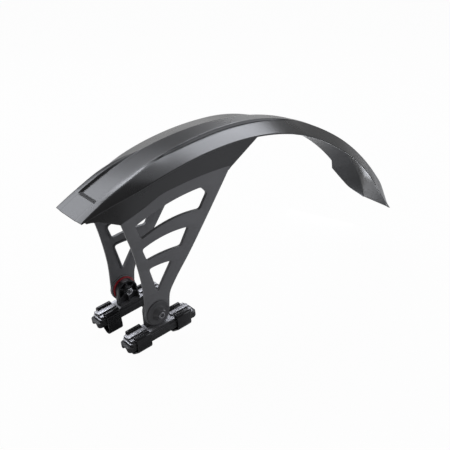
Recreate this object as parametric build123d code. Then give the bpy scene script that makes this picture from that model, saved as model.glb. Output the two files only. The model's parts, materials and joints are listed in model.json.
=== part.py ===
from build123d import *
from math import cos, radians, sin
import os

# Rear guard of a bicycle. The side view is drawn with the pivot at its origin: +X runs rearwards, +Y to the
# rider's right, +Z up. Millimetres and degrees. The right hand side is drawn, then mirrored, and the whole set
# is moved to its frame at the end.

# Blade: two tangent arcs seen from the side, met at the crest.
CREST_X = 148.7
CREST_Z = 232.6
FRONT_RADIUS = 470.0
REAR_RADIUS = 388.0
BLADE_WALL = 2.4
EDGE_LEAN = 0.5
TIP_BULGE = 1.6
# Angles along the blade, measured at the arc centres from the crest.
TIP = -31.7
TIP_SPARE = -32.6
TIP_MID = -30.2
PANEL_START = -28.0
PANEL_FLOOR = -26.8
SHOULDER = -23.5
BAND_TURN = -22.0
WING_FULL = -19.0
BAND_MID = -17.5
BAND_END = -13.5
STRIP_FULL = -8.0
CREST = 0.0
STRIP_NARROW = 6.0
STRIP_TAPER = 12.5
STRIP_NECK = 17.5
STRIP_END = 21.5
REAR_FIRST = 30.0
REAR_SECOND = 39.0
SKIRT_STEP = 48.8
SKIRT_START = 52.0
SKIRT_MID = 54.5
TAIL_TURN = 57.5
TAIL_MID = 61.0
TAIL = 65.5
# Half widths and heights over the arc, each as (angle, size) stops. The centre strip is sunk between the side
# bands in front and stands proud of the wings behind.
STRIP_HALVES = ((BAND_END, 18.3), (STRIP_FULL, 16.6), (CREST, 13.7), (STRIP_NARROW, 12.0), (STRIP_TAPER, 11.0),
                (STRIP_NECK, 9.2), (STRIP_END, 6.0), (TAIL, 27.0))
STRIP_RISES = ((PANEL_START, 0.0), (PANEL_FLOOR, -2.2), (STRIP_END, -2.0), (REAR_FIRST, -0.4), (REAR_SECOND, 2.2),
               (SKIRT_STEP, 4.2), (TAIL_TURN, 5.6), (TAIL, 0.5))
BAND_RUNS = ((BAND_MID, 2.6), (BAND_END, 0.7))
BAND_RISES = ((PANEL_START, 0.2), (PANEL_FLOOR, 0.8), (BAND_TURN, 0.8), (BAND_END, -2.2))
BAND_CHAMFER = 0.3
RIDGE_HALVES = ((TIP, 31.6), (PANEL_START, 31.0), (BAND_TURN, 30.3), (BAND_MID, 26.8))
RIDGE_RISES = ((TIP, 0.5), (PANEL_START, 0.1), (BAND_TURN, 0.0), (BAND_MID, -0.9))
STEP_RUN = 1.5
STEP_DROPS = ((BAND_END, 2.0), (STRIP_FULL, 3.8), (CREST, 3.7), (STRIP_NARROW, 3.4), (STRIP_TAPER, 2.2),
              (STRIP_NECK, 1.1), (STRIP_END, 0.6))
EDGE_HALVES = ((TIP, 32.8), (SHOULDER, 43.0), (WING_FULL, 48.5), (BAND_END, 50.6), (CREST, 52.6),
               (STRIP_NARROW, 54.2), (STRIP_TAPER, 54.4), (STRIP_END, 51.0), (REAR_SECOND, 45.0), (SKIRT_STEP, 43.2))
EDGE_RISES = ((TIP, -1.6), (SHOULDER, -11.0), (CREST, -11.2), (STRIP_NARROW, -11.2), (STRIP_TAPER, -12.0),
              (STRIP_END, -15.3), (REAR_FIRST, -17.6), (SKIRT_STEP, -16.2))
SKIRT_EDGES = ((50.0, -20.7), (47.8, -19.7), (45.5, -17.4), (42.2, -12.6), (36.0, -3.0))

# Side walls, from the wings down to the fold where each turns into its leg.
SIDE_WALL = 2.0
SIDE_INSET = 1.0
SIDE_START = -31.2
SIDE_END = 4.0
FOLD_STEP = 0.5
LEG_FRONT = -27.1
LEG_REAR = -2.3
FOLD_SECOND = -22.7
FOLD_THIRD = -17.8
FOLD_FOURTH = -12.8
FOLD_FIFTH = -6.3
LEG_OUTER = 45.5
FOLD_HALVES = ((TIP, 32.0), (TIP_MID, 36.2), (LEG_FRONT, LEG_OUTER))
FOLD_RISES = ((TIP, -2.2), (TIP_MID, -9.0), (LEG_FRONT, -34.4), (FOLD_SECOND, -37.9), (FOLD_THIRD, -40.8),
              (FOLD_FOURTH, -44.2), (FOLD_FIFTH, -48.2), (SIDE_END, -50.0))
SIDE_LAPS = ((LEG_FRONT, 1.0), (FOLD_SECOND, 3.0))
LEG_LAPS = ((FOLD_SECOND, 0.5), (FOLD_THIRD, 4.5))
WALL_REAR_TOP = (172.0, 218.4)
CUT_SPARE = 40.0

# Legs: outline and openings in the side view.
LEG_WALL = 3.0
LEG_PARTING = 5.0
FOOT_RADIUS = 20.0
FOOT_DEPTH = 4.5
LEG_FRONT_LINE = ((-44.0, 132.8), (-36.2, 109.8), (-28.4, 79.5), (-21.9, 44.0))
LEG_HEEL = (-19.6, 5.4)
LEG_TOE = (20.0, 4.0)
LEG_REAR_LINE = ((22.0, 24.5), (30.2, 39.1), (57.0, 75.3), (83.8, 114.6), (110.5, 155.2))
UPPER_TOP = ((-29.6, 141.5), (20.0, 158.3), (78.5, 166.8))
UPPER_CORNER = (89.0, 155.6)
UPPER_FLOOR = ((76.3, 134.7), (28.0, 133.9), (-20.5, 119.3))
MIDDLE_TOP = ((-20.1, 104.8), (18.0, 114.6), (56.5, 114.6))
MIDDLE_FLOOR = ((42.9, 89.2), (16.0, 89.4), (-13.0, 85.6))
LOWER_TOP = ((-10.7, 72.1), (8.0, 73.8), (27.0, 72.4))
LOWER_POINT = (1.5, 31.5)
HOLE_ROUND = 4.0
COLLAR_DEPTH = 5.0
COLLAR_WALL = 2.2

# Pivot.
BOLT_RADIUS = 3.0
BOLT_CLEARANCE = 0.3
THREAD_CLEARANCE = 0.1
BOLT_CHAMFER = 0.5
SHANK_PAST = 1.0
HEAD_RADIUS = 5.0
HEAD_LENGTH = 6.0
SOCKET_FLATS = 5.0
SOCKET_DEPTH = 3.4
HEAD_SEAT = 50.0
CAP_RADIUS = 18.5
CAP_RIM = 2.2
CAP_CHAMFER = 0.6
CAP_LAND = 2.5
CAP_DISH = 0.7
CAP_DISH_RADIUS = 13.0
HUB_END = 54.6
HUB_BASE_RADIUS = 10.0
HUB_END_RADIUS = 6.9
RING_RADIUS = 17.9
RING_BORE = 12.0
RING_WALL = 2.0
KNUCKLE_RADIUS = 15.9
KNUCKLE_DEPTH = 9.0
KNUCKLE_WEB = 2.5
KNUCKLE_RIM = 2.0
KNUCKLE_FOOT = 18.0
SPOKE_WALL = 1.6
SPOKE_COUNT = 6
SPOKE_INSET = 0.8
BOSS_RADIUS = 7.2
NUT_FLATS = 10.0
NUT_LENGTH = 5.0
NUT_CHAMFER = 0.8

# Clamp shoe, drawn level and then tipped about the pivot.
SHOE_TIP = -7.6
RAIL_X = 0.8
RAIL_Y = 39.1
DECK_LENGTH = 108.0
DECK_HALF = 12.0
DECK_TOP = -24.7
DECK_BASE = -28.2
DECK_ROUND = 5.0
RAIL_HALF = 3.8
RAIL_TOP = -18.2
RAIL_ROUND = 2.0
RAIL_START = 21.0
RAIL_INSET = 2.0
LIP_WALL = 2.2
LIP_TOP = -21.8
STRAP_INSET = 8.3
STRAP_WIDTH = 23.0
STRAP_WALL = 2.2
STRAP_GAP = 0.3
STRAP_OUTER_LOW = -40.0
STRAP_INNER_LOW = -63.5
STRAP_BEND = 9.0
HOOK_LEG = 2.4
RIB_COUNT = 4
RIB_HEIGHT = 0.6
RIB_PITCH = 3.6
PAD_LENGTH = 118.0
PAD_BASE = -38.5
PAD_ROUND = 6.0
PAD_LIP_ROUND = 4.3
STAY_RADIUS = 7.0
STAY_CLEARANCE = 0.1
STAY_Z = -37.0

FOOT_INNER = LEG_OUTER - FOOT_DEPTH
KNUCKLE_OUTER = FOOT_INNER - RING_WALL
KNUCKLE_INNER = KNUCKLE_OUTER - KNUCKLE_DEPTH
NUT_END = KNUCKLE_INNER - NUT_LENGTH
STRAP_OFFSET = DECK_LENGTH / 2 - STRAP_INSET - STRAP_WIDTH / 2
SHANK_END = NUT_END - SHANK_PAST


def between(value, stops):
    """Value read off a line drawn through (place, size) stops."""
    if value <= stops[0][0]:
        return stops[0][1]
    for (a, low), (b, high) in zip(stops, stops[1:]):
        if value <= b:
            return low + (high - low) * (value - a) / (b - a)
    return stops[-1][1]


def on_arc(angle, half, rise):
    """Point of the blade: angle from the crest, distance from the middle, height over the arc."""
    radius = FRONT_RADIUS if angle < 0 else REAR_RADIUS
    turn = radians(angle)
    reach = radius + rise
    return Vector(CREST_X + reach * sin(turn), half, CREST_Z - radius + reach * cos(turn))


def edge_at(angle):
    """Half width and height of the wing's outer edge."""
    return between(angle, EDGE_HALVES), between(angle, EDGE_RISES)


def fold_at(angle):
    """Half width and height of the fold where a side wall turns into its leg."""
    return between(angle, FOLD_HALVES), between(angle, FOLD_RISES)


def half_section(angle):
    """Corners of the blade's right half, from the strip's edge out to the wing's root."""
    strip = between(angle, STRIP_HALVES)
    strip_rise = between(angle, STRIP_RISES)
    band = strip + between(angle, BAND_RUNS)
    if angle < BAND_END:
        return [(strip, strip_rise), (band, between(angle, BAND_RISES)),
                (between(angle, RIDGE_HALVES), between(angle, RIDGE_RISES))]
    return [(strip, strip_rise), (band, strip_rise - BAND_CHAMFER),
            (strip + STEP_RUN, strip_rise - between(angle, STEP_DROPS))]


def outline_face(angle, corners):
    return Face(Wire.make_polygon([on_arc(angle, half, rise) for half, rise in corners], close=True))


def blade_section(angle, edge=None):
    """Closed outline of the blade across the arc at one angle."""
    top = half_section(angle) + [edge or edge_at(angle)]
    under = [(half, rise - BLADE_WALL) for half, rise in reversed(top)]
    lean = [(half - EDGE_LEAN, rise) for half, rise in under[:-1]] + under[-1:]
    right = top + lean
    left = [(-half, rise) for half, rise in reversed(right)]
    return outline_face(angle, right + left)


def blade_length(angles, ruled=False, edges=None):
    """Piece of the blade through the sections at these angles."""
    edges = edges or [None] * len(angles)
    return loft([blade_section(angle, edge) for angle, edge in zip(angles, edges)], ruled=ruled)


def inside_wing(angle, half):
    """Height of the middle of the wing's wall at a distance from the middle plane."""
    edge, edge_rise = edge_at(angle)
    root, root_rise = half_section(angle)[-1]
    slope = (root_rise - edge_rise) / (edge - root)
    return min(edge_rise + (edge - half) * slope, root_rise) - BLADE_WALL / 2


def side_section(angle):
    """Outline across one side wall, from inside the wing down past the fold."""
    fold, rise = fold_at(angle)
    outer = fold - FOLD_STEP
    inner = outer - SIDE_WALL
    foot = rise - between(angle, SIDE_LAPS)
    top_outer = edge_at(angle)[0] - SIDE_INSET
    top_inner = top_outer - SIDE_WALL
    return outline_face(angle, [(top_outer, inside_wing(angle, top_outer)), (outer, rise), (outer, foot),
                                (inner, foot), (inner, rise), (top_inner, inside_wing(angle, top_inner))])


def side_point(angle, over=0.0):
    """Place of the fold in the side view, or over it."""
    spot = on_arc(angle, 0, fold_at(angle)[1] + over)
    return spot.X, spot.Z


def leg_top(angle):
    """Place of the leg's top edge in the side view, where it laps the side wall."""
    return side_point(angle, between(angle, LEG_LAPS))


def turned(*corners):
    """Solid turned about the pivot axis from (radius, distance from the middle plane) corners."""
    outline = make_face(Polyline([(radius, 0, reach) for radius, reach in corners], close=True))
    solid = revolve(outline, axis=Axis.Z)
    return Plane(origin=(0, 0, 0), x_dir=(1, 0, 0), z_dir=(0, 1, 0)) * solid


def pin(radius, low, high):
    """Plain cylinder on the pivot axis."""
    return turned((0, low), (radius, low), (radius, high), (0, high))


def across(outline, outer, depth):
    """Side view outline given thickness from the outer face inwards."""
    return extrude(Plane.XZ.offset(-outer) * outline, amount=depth)


def outlined(*lines):
    return make_face(list(lines))


# Blade, in lengths that share their end faces.
blade = blade_length([TIP_SPARE, TIP_MID, PANEL_START])
blade += blade_length([PANEL_START, PANEL_FLOOR], ruled=True)
blade += blade_length([PANEL_FLOOR, BAND_TURN, BAND_MID, BAND_END])
blade += blade_length([BAND_END, STRIP_FULL, CREST, STRIP_NARROW, STRIP_TAPER, STRIP_NECK, STRIP_END])
blade += blade_length([STRIP_END, REAR_FIRST, REAR_SECOND, SKIRT_STEP])
blade += blade_length([SKIRT_STEP, SKIRT_START], ruled=True, edges=[edge_at(SKIRT_STEP), SKIRT_EDGES[0]])
blade += blade_length([SKIRT_START, SKIRT_MID, TAIL_TURN, TAIL_MID, TAIL], edges=SKIRT_EDGES)
tip_x = on_arc(TIP, 0, 0).X
tip_half = between(TIP, RIDGE_HALVES)
spare_half = tip_half + CUT_SPARE
spare_x = tip_x - CUT_SPARE
nose_arc = ThreePointArc((tip_x, -tip_half), (tip_x - TIP_BULGE, 0), (tip_x, tip_half))
nose_back = Polyline((tip_x, tip_half), (tip_x, spare_half), (spare_x, spare_half), (spare_x, -spare_half),
                     (tip_x, -spare_half), (tip_x, -tip_half))
blade -= extrude(outlined(nose_arc, nose_back), amount=CREST_Z)

# Side wall and leg.
fold_angles = (LEG_FRONT, FOLD_SECOND, FOLD_THIRD, FOLD_FOURTH, FOLD_FIFTH)
side_wall = loft([side_section(angle) for angle in (SIDE_START, TIP_MID, LEG_FRONT)])
side_wall += loft([side_section(angle) for angle in fold_angles + (CREST, SIDE_END)])
rear_x, rear_z = side_point(LEG_REAR)
over_x = 2 * WALL_REAR_TOP[0] - rear_x
over_z = 2 * WALL_REAR_TOP[1] - rear_z
low_z = rear_z - CUT_SPARE
behind = Polyline((rear_x, rear_z), (over_x, over_z), (over_x, low_z), (rear_x, low_z), close=True)
side_wall -= across(outlined(behind), LEG_OUTER + CUT_SPARE, 2 * CUT_SPARE)
leg_angles = fold_angles + (LEG_REAR,)
fold_line = Spline([leg_top(angle) for angle in leg_angles])
front_line = Spline([leg_top(LEG_FRONT), *LEG_FRONT_LINE, LEG_HEEL])
foot_line = ThreePointArc(LEG_HEEL, (0, -FOOT_RADIUS), LEG_TOE)
rear_line = Spline([LEG_TOE, *LEG_REAR_LINE, leg_top(LEG_REAR)])
leg = across(outlined(fold_line, front_line, foot_line, rear_line), LEG_OUTER, LEG_WALL)
leg += across(Circle(FOOT_RADIUS), LEG_OUTER, FOOT_DEPTH)
upper_hole = outlined(ThreePointArc(*UPPER_TOP), Polyline(UPPER_TOP[-1], UPPER_CORNER, UPPER_FLOOR[0]),
                      ThreePointArc(*UPPER_FLOOR), Line(UPPER_FLOOR[-1], UPPER_TOP[0]))
middle_hole = outlined(ThreePointArc(*MIDDLE_TOP), Line(MIDDLE_TOP[-1], MIDDLE_FLOOR[0]),
                       ThreePointArc(*MIDDLE_FLOOR), Line(MIDDLE_FLOOR[-1], MIDDLE_TOP[0]))
lower_hole = outlined(ThreePointArc(*LOWER_TOP), Polyline(LOWER_TOP[-1], LOWER_POINT, LOWER_TOP[0]))
for hole in (upper_hole, middle_hole, lower_hole):
    opening = fillet(hole.vertices(), HOLE_ROUND)
    leg += across(offset(opening, amount=COLLAR_WALL), LEG_OUTER, COLLAR_DEPTH)
    leg -= across(opening, LEG_OUTER, COLLAR_DEPTH)
bore = BOLT_RADIUS + BOLT_CLEARANCE
leg -= pin(bore, 0, LEG_OUTER)
# The moulding is kept as three solids that meet face to face along a line under each fold.
parting = [side_point(angle, -LEG_PARTING) for angle in leg_angles]
front_x, rear_x = parting[0][0] - CUT_SPARE, parting[-1][0] + CUT_SPARE
parting = [(front_x, parting[0][1]), *parting, (rear_x, parting[-1][1])]
below = outlined(Polyline(*parting, (rear_x, -CUT_SPARE), (front_x, -CUT_SPARE), close=True))
leg_room = across(below, LEG_OUTER + CUT_SPARE, 2 * CUT_SPARE)
right_leg = leg & leg_room
right_side = side_wall + (leg - leg_room)
guard = blade + right_side + mirror(right_side, about=Plane.XZ)

# Pivot hardware.
seat_bore = HEAD_RADIUS + BOLT_CLEARANCE
rim_top = LEG_OUTER + CAP_RIM
cap = turned((bore, LEG_OUTER), (CAP_RADIUS, LEG_OUTER), (CAP_RADIUS, rim_top - CAP_CHAMFER),
             (CAP_RADIUS - CAP_CHAMFER, rim_top), (CAP_RADIUS - CAP_LAND, rim_top),
             (CAP_DISH_RADIUS, rim_top - CAP_DISH), (HUB_BASE_RADIUS, rim_top), (HUB_END_RADIUS, HUB_END),
             (seat_bore, HUB_END), (seat_bore, HEAD_SEAT), (bore, HEAD_SEAT))
head_end = HEAD_SEAT + HEAD_LENGTH
bolt = turned((0, SHANK_END), (BOLT_RADIUS - BOLT_CHAMFER, SHANK_END), (BOLT_RADIUS, SHANK_END + BOLT_CHAMFER),
              (BOLT_RADIUS, HEAD_SEAT), (HEAD_RADIUS, HEAD_SEAT), (HEAD_RADIUS, head_end - BOLT_CHAMFER),
              (HEAD_RADIUS - BOLT_CHAMFER, head_end), (0, head_end))
bolt -= across(RegularPolygon(SOCKET_FLATS / 2, 6, major_radius=False), head_end, SOCKET_DEPTH)
nut_corner = NUT_FLATS / 2 / cos(radians(30))
nut = across(RegularPolygon(NUT_FLATS / 2, 6, major_radius=False), KNUCKLE_INNER, NUT_LENGTH)
nut &= turned((0, NUT_END), (nut_corner - NUT_CHAMFER, NUT_END), (nut_corner, NUT_END + NUT_CHAMFER / 2),
              (nut_corner, KNUCKLE_INNER), (0, KNUCKLE_INNER))
nut -= pin(BOLT_RADIUS + THREAD_CLEARANCE, 0, LEG_OUTER)
ring = pin(RING_RADIUS, KNUCKLE_OUTER, FOOT_INNER) - pin(RING_BORE, KNUCKLE_OUTER, FOOT_INNER)

# Clamp shoe, drawn level.


def block(length, low_y, high_y, low_z, high_z, middle=RAIL_X):
    """Box by its length about a middle and by its sides."""
    spot = Pos(middle, RAIL_Y + (low_y + high_y) / 2, (low_z + high_z) / 2)
    return spot * Box(length, high_y - low_y, high_z - low_z)


def round_ends(solid, radius):
    return fillet(solid.edges().filter_by(Axis.Z), radius)


# Knuckle: a shallow cup with spokes, open towards the wheel.
knuckle_sides = Polyline((-KNUCKLE_RADIUS, 0), (KNUCKLE_RADIUS, 0), (KNUCKLE_FOOT, DECK_BASE),
                         (-KNUCKLE_FOOT, DECK_BASE), close=True)
knuckle_outline = Circle(KNUCKLE_RADIUS) + outlined(knuckle_sides)
full_knuckle = across(knuckle_outline, KNUCKLE_OUTER, KNUCKLE_DEPTH)
hollow_depth = KNUCKLE_DEPTH - KNUCKLE_WEB
hollow = across(offset(knuckle_outline, amount=-KNUCKLE_RIM), KNUCKLE_INNER + hollow_depth, hollow_depth)
spoke = Pos(0, KNUCKLE_RADIUS) * Rectangle(SPOKE_WALL, 2 * KNUCKLE_RADIUS)
spokes = Sketch() + [Rot(0, 0, 360 / SPOKE_COUNT * turn) * spoke for turn in range(SPOKE_COUNT)]
knuckle = full_knuckle - hollow
knuckle += across(spokes, KNUCKLE_OUTER, KNUCKLE_DEPTH - SPOKE_INSET) & full_knuckle
knuckle += across(Circle(BOSS_RADIUS), KNUCKLE_OUTER, KNUCKLE_DEPTH)

# Deck, with a rail in front of and behind the knuckle and a lip at each side of each strap.
shoe = round_ends(block(DECK_LENGTH, -DECK_HALF, DECK_HALF, DECK_BASE, DECK_TOP), DECK_ROUND)
rail_length = DECK_LENGTH / 2 - RAIL_START - RAIL_INSET
lip_inner = DECK_HALF - LIP_WALL
for end in (-1, 1):
    rail_middle = RAIL_X + end * (RAIL_START + rail_length / 2)
    rail = block(rail_length, -RAIL_HALF, RAIL_HALF, DECK_TOP, RAIL_TOP, rail_middle)
    shoe += round_ends(rail, RAIL_ROUND)
    for low, high in ((lip_inner, DECK_HALF), (-DECK_HALF, -lip_inner)):
        shoe += block(STRAP_WIDTH, low, high, DECK_BASE, LIP_TOP, RAIL_X + end * STRAP_OFFSET)
shoe += knuckle
shoe -= pin(bore, 0, LEG_OUTER)

pad = round_ends(block(PAD_LENGTH, -DECK_HALF, DECK_HALF, PAD_BASE, DECK_BASE), PAD_ROUND)
pad = fillet(pad.edges().group_by(Axis.Z)[0], PAD_LIP_ROUND)
trough = STAY_RADIUS + STAY_CLEARANCE
pad -= Pos(RAIL_X, RAIL_Y, STAY_Z) * Rot(0, 90, 0) * Cylinder(trough, PAD_LENGTH)
pad -= block(PAD_LENGTH, -trough, trough, PAD_BASE, STAY_Z)

# Strap: a band hooked over both lips, hanging lower towards the wheel, seen along the rail.
lip_middle = DECK_HALF - LIP_WALL / 2
hook_inner = LIP_WALL / 2 + STRAP_GAP
hook_outer = hook_inner + STRAP_WALL
band_outer = lip_middle + hook_outer
band_top = LIP_TOP + STRAP_WALL
loop = outlined(Polyline((band_outer, band_top), (-band_outer, band_top), (-band_outer, STRAP_INNER_LOW),
                         (band_outer, STRAP_OUTER_LOW), close=True))
loop = fillet(loop.vertices().sort_by(Axis.Y)[:2], STRAP_BEND)
band = loop - offset(loop, amount=-STRAP_WALL)
band -= Pos(0, LIP_TOP + STRAP_WALL / 2) * Rectangle(2 * band_outer, STRAP_WALL)
hook_below = Pos(0, -hook_outer) * Rectangle(2 * hook_outer, 2 * hook_outer)
hook_arch = Circle(hook_outer) - Circle(hook_inner) - hook_below
hook_side = (hook_inner + hook_outer) / 2
for side in (-1, 1):
    band += Pos(side * lip_middle, LIP_TOP) * hook_arch
    band += Pos(side * (lip_middle - hook_side), LIP_TOP - HOOK_LEG / 2) * Rectangle(STRAP_WALL, HOOK_LEG)
for step in range(RIB_COUNT):
    band += Pos(-band_outer, LIP_TOP - RIB_PITCH * step) * Rectangle(2 * RIB_HEIGHT, RIB_PITCH / 2)


def strap_at(middle):
    return extrude(Plane.YZ.offset(middle - STRAP_WIDTH / 2) * Pos(RAIL_Y, 0) * band, amount=STRAP_WIDTH)


tipped = Rot(0, SHOE_TIP, 0)
right_parts = {
    "leg": right_leg,
    "cap": cap,
    "bolt": bolt,
    "nut": nut,
    "ring": ring,
    "shoe": tipped * shoe,
    "pad": tipped * pad,
    "front_strap": tipped * strap_at(RAIL_X - STRAP_OFFSET),
    "rear_strap": tipped * strap_at(RAIL_X + STRAP_OFFSET),
}
parts = {"guard": guard}
for name, solid in right_parts.items():
    parts["right_" + name] = solid
    parts["left_" + name] = mirror(solid, about=Plane.XZ)

# Frame: origin under the middle of the whole set, on its lowest level.
boxes = [solid.bounding_box() for solid in parts.values()]
middle_x = (min(box.min.X for box in boxes) + max(box.max.X for box in boxes)) / 2
to_frame = Pos(-middle_x, 0, -min(box.min.Z for box in boxes))

os.makedirs("parts", exist_ok=True)
for name, solid in parts.items():
    export_step(to_frame * solid, "parts/" + name + ".step")
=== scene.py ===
import json
import math

import bmesh
import bpy
from mathutils import Matrix, Quaternion, Vector


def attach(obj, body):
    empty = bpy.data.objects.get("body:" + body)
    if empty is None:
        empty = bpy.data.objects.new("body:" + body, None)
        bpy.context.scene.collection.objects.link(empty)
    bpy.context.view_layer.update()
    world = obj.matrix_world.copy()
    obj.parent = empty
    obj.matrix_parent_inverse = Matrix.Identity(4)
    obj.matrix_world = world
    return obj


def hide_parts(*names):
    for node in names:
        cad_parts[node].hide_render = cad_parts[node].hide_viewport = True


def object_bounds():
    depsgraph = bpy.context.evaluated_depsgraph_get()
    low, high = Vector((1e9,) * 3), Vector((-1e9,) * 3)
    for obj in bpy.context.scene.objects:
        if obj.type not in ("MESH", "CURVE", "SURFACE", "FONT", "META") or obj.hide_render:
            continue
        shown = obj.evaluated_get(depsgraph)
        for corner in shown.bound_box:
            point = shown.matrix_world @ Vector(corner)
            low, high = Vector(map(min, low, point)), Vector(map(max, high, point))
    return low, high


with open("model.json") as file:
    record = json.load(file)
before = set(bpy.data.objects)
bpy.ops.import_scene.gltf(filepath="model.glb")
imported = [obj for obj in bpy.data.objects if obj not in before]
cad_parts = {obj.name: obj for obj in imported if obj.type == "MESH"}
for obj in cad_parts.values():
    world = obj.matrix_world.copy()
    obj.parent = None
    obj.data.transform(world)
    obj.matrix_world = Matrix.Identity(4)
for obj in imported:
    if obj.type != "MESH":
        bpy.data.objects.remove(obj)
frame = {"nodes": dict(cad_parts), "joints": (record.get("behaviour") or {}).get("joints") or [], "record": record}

bl_info = {
    "name": "Bicycle mudguard",
    "version": (1, 0, 0),
    "blender": (4, 5, 0),
    "location": "View3D > Sidebar > Mudguard",
    "description": "Dresses the solids of a strap-on bicycle mudguard for a studio picture",
    "category": "Object",
}

CAD_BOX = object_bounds()
MM = 0.001
SIDES = {"left": -1, "right": 1}
ENDS = {"front": -1, "rear": 1}
PIVOT = Vector(frame["joints"][0]["pos_m"])

# Camera: its place and aim about the pivot, and the lens for a square picture.
CAMERA_FROM_PIVOT = Vector((-0.5217, -0.8284, 0.6032))
CAMERA_TURN = math.radians(-39.33)
CAMERA_RISE = math.radians(26.57)
CAMERA_LENS = 64.08

# Stage: soft lamps as (name, turn and rise in degrees seen from the part, distance, lean in degrees,
# width, height, watts). The last is a low card behind the tail, which lights it from below.
LAMP_AIM = Vector((0.0, 0.0, 0.17))
LAMPS = (
    ("lamp_key", 44.5, 45.0, 1.7, -20.0, 0.55, 1.12, 8.4),
    ("lamp_left", 116.0, 36.0, 1.7, 10.0, 0.9, 0.95, 9.4),
    ("lamp_edge", 94.0, 53.0, 1.7, 0.0, 0.6, 0.3, 5.4),
    ("lamp_top", 30.0, 78.0, 1.7, 0.0, 1.3, 1.4, 4.6),
    ("lamp_fill", -45.0, 18.0, 1.7, 0.0, 1.4, 1.0, 7.5),
    ("lamp_tail", 21.0, -26.6, 0.346, 0.0, 0.13, 0.05, 0.13),
)
WHITE = (1.0, 1.0, 1.0, 1.0)
LAMP_COLOUR = (0.91, 0.935, 1.0)
FLOOR_COLOUR = (0.6, 0.6, 0.6, 1.0)
FLOOR_REACH = 6.0
FLOOR_GAP = 1.0 * MM
FLOOR_SEEN = 0.97
# Mirrored in the part, the floor turns light between two places across it and fades away from the part.
FLOOR_LIT = (0.035, 0.10)
FLOOR_NEAR, FLOOR_FAR = 0.32, 0.6
FLOOR_FAR_SHARE = 0.25
SKY_LIGHT = 0.3
# Mirrored in the part, the sky is dark in front and lighter behind, with one bright backdrop.
SKY_FRONT = 0.12
SKY_BEHIND = 0.22
SKY_SPREAD = 0.6
SKY_BRIGHT_WAY = (0.94, 0.34, 0.0)
SKY_BACKDROP_WAY = (0.588, 0.809, 0.0)
SKY_BACKDROP = (0.925, 0.980)
SKY_BACKDROP_LIGHT = 0.78

# Finishes: clouds to the metre over a piece and their detail, the tones they run between, the drift of the
# roughness, and the strength of the grain.
PLASTIC_CLOUDS, SHOE_CLOUDS, RUBBER_CLOUDS, STEEL_CLOUDS = 14.0, 40.0, 30.0, 160.0
PLASTIC_DETAIL, RUBBER_DETAIL, STEEL_DETAIL = 3.0, 3.0, 4.0
PLASTIC_TONES, RUBBER_TONE, STEEL_TONE = (0.8, 1.25), 1.3, 1.15
PLASTIC_DRIFT, RUBBER_DRIFT, STEEL_DRIFT = 0.08, 0.12, 0.1
PLASTIC_GRAIN, RUBBER_GRAIN = 0.12, 0.3
# Painted sheen of the decks' upward faces: how level a face is where it starts and is full, its cover, and its
# metal.
DECK_SHEEN_LEVEL = (0.93, 0.99)
DECK_SHEEN, DECK_SHEEN_DRIFT, DECK_SHEEN_CLOUDS = 0.8, 0.2, 60.0
DECK_SHEEN_METAL = 0.8
# Surfaces: roughness, grain to the metre, depth of the grain, and strength of the gloss where it isn't usual.
GUARD_SURFACE = {"rough": 0.28, "grain": 2600.0, "depth": 0.02 * MM, "gloss": 0.8}
LEG_SURFACE = {"rough": 0.42, "grain": 2600.0, "depth": 0.03 * MM}
CAP_SURFACE = {"rough": 0.36, "grain": 3000.0, "depth": 0.02 * MM}
RING_SURFACE = {"rough": 0.35, "grain": 3000.0, "depth": 0.01 * MM}
SHOE_SURFACE = {"rough": 0.42, "grain": 2600.0, "depth": 0.02 * MM, "gloss": 0.6}
PAD_SURFACE = {"rough": 0.42, "grain": 1200.0, "depth": 0.03 * MM}
STRAP_SURFACE = {"rough": 0.17, "grain": 900.0, "depth": 0.008 * MM}
BOLT_ROUGH, NUT_ROUGH = 0.32, 0.22
CAP_COLOUR = (0.065, 0.065, 0.068)
BOLT_COLOUR = (0.30, 0.30, 0.31)
NUT_COLOUR = (0.62, 0.62, 0.64)
PAD_COLOUR = (0.018, 0.018, 0.019)
STRAP_COLOUR = (0.007, 0.007, 0.008)

# Meshes: points closer than a merge are one, and edges are told apart by how far they turn.
MERGE = 0.002 * MM
FLAT_TURN = math.radians(0.4)
SHARP_TURN = math.radians(40)
EASED_TURN = math.radians(30)
EASE_STEPS, PAD_EASE_STEPS, PLATE_EASE_STEPS = 2, 3, 2
# Rounds of some pieces, as shares of the edge round that is asked for.
COLLAR_EASE, TABLE_EASE, PAD_EASE = 0.5, 2.0, 2.0

# Blade, in millimetres about the pivot: two tangent arcs seen from the side, met at the crest.
CREST_X = 148.7
CREST_Z = 232.6
FRONT_RADIUS = 470.0
REAR_RADIUS = 388.0
TIP_BULGE = 1.6
# Angles along the blade, measured at the arc centres from the crest.
TIP, TIP_MID, SIDE_START = -31.7, -30.2, -31.2
PANEL_START, PANEL_FLOOR = -28.0, -27.3
SHOULDER, BAND_TURN, WING_FULL, BAND_MID, BAND_END = -23.5, -22.0, -19.0, -17.5, -13.5
STRIP_FULL, CREST, STRIP_NARROW, STRIP_TAPER, STRIP_NECK, STRIP_END = -8.0, 0.0, 6.0, 12.5, 17.5, 21.5
REAR_FIRST, REAR_SECOND = 30.0, 39.0
SKIRT_STEP, SKIRT_START, SKIRT_MID, TAIL_TURN, TAIL_MID, TAIL = 48.8, 52.0, 54.5, 57.5, 61.0, 65.5
BLADE_WALLS = ((TIP, 0.9), (PANEL_START, 2.4), (STRIP_TAPER, 2.4), (REAR_FIRST, 1.4), (TAIL, 1.2))
EDGE_LEAN = 0.5
EDGE_ROUND = 1.0
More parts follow.
